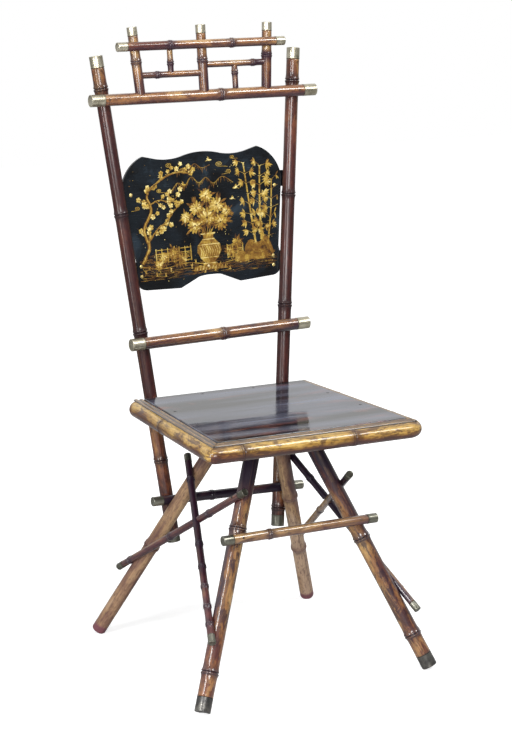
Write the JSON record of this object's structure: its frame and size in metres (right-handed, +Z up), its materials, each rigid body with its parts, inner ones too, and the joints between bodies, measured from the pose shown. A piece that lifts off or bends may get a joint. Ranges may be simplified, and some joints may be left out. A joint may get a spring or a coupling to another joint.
{
  "type": "bamboo side chair",
  "caption": "Upright side chair of lapped bamboo poles with metal end caps, a lacquered seat board, a shaped lacquered back panel, splayed legs, crossed side braces and a fretwork crest.",
  "frame": {"origin": "middle of the chair's bounding box, on the floor the feet stand on", "axes": "+Z up, the sitter faces -Y, +X is the right side as seen from in front"},
  "size_m": [0.456, 0.4834, 1.0522],
  "materials": {
    "post_culm": "dark stained bamboo under clear varnish",
    "rail_culm": "brown scorched bamboo under clear varnish",
    "seat_culm": "golden mottled bamboo under clear varnish",
    "front_leg_culm": "red-brown scorched bamboo under clear varnish",
    "rear_leg_culm": "tan bamboo, satin",
    "thin_culm": "dark brown bamboo, satin",
    "seat_lacquer": "black lacquer, high gloss",
    "panel_lacquer": "black lacquer with gilt decoration, gloss",
    "bead_wood": "tan wood, satin",
    "pale_cap_metal": "pale worn plated brass, satin",
    "dull_cap_metal": "dull worn brass, satin",
    "foot_metal": "dark worn steel, satin",
    "pin_brass": "brass, polished",
    "plain_wood": "plain wood, oiled",
    "steel": "dark iron, satin"
  },
  "bodies": {
    "root": {"back_post_left": "post_culm", "back_post_right": "post_culm", "crest_rail": "rail_culm", "mid_rail": "rail_culm", "fret_upright_left": "rail_culm", "fret_upright_centre": "rail_culm", "fret_upright_right": "rail_culm", "fret_rail": "rail_culm", "fret_bar_left": "rail_culm", "fret_bar_right": "rail_culm", "fret_strut_left": "rail_culm", "fret_strut_right": "rail_culm", "seat_rail_front": "seat_culm", "seat_rail_rear": "seat_culm", "seat_rail_left": "seat_culm", "seat_rail_right": "seat_culm", "leg_front_left": "front_leg_culm", "leg_front_right": "front_leg_culm", "leg_rear_left": "rear_leg_culm", "leg_rear_right": "rear_leg_culm", "front_stretcher": "thin_culm", "rear_stretcher": "thin_culm", "brace_low_left": "thin_culm", "brace_low_right": "thin_culm", "brace_high_left": "thin_culm", "brace_high_right": "thin_culm", "seat_board": "seat_lacquer", "back_panel": "panel_lacquer", "panel_batten_upper": "panel_lacquer", "panel_batten_lower": "panel_lacquer", "seat_bead_front": "bead_wood", "seat_bead_rear": "bead_wood", "seat_bead_left": "bead_wood", "seat_bead_right": "bead_wood", "post_top_caps": "pale_cap_metal", "crest_rail_caps": "pale_cap_metal", "mid_rail_caps": "pale_cap_metal", "fret_upright_caps": "pale_cap_metal", "fret_rail_caps": "pale_cap_metal", "stretcher_caps": "dull_cap_metal", "brace_caps": "dull_cap_metal", "post_ferrules": "dull_cap_metal", "foot_ferrules": "foot_metal", "panel_pins": "pin_brass", "seat_cleat_front": "plain_wood", "seat_cleat_rear": "plain_wood", "seat_cleat_left": "plain_wood", "seat_cleat_right": "plain_wood", "leg_block": "plain_wood", "rail_dowels": "plain_wood", "fret_dowels": "plain_wood", "rail_pegs": "plain_wood", "stretcher_pegs": "plain_wood", "seat_nails": "steel", "batten_nails": "steel", "block_screws": "steel", "brace_pins": "steel", "post_leg_pins": "steel"}
  },
  "joints": []
}
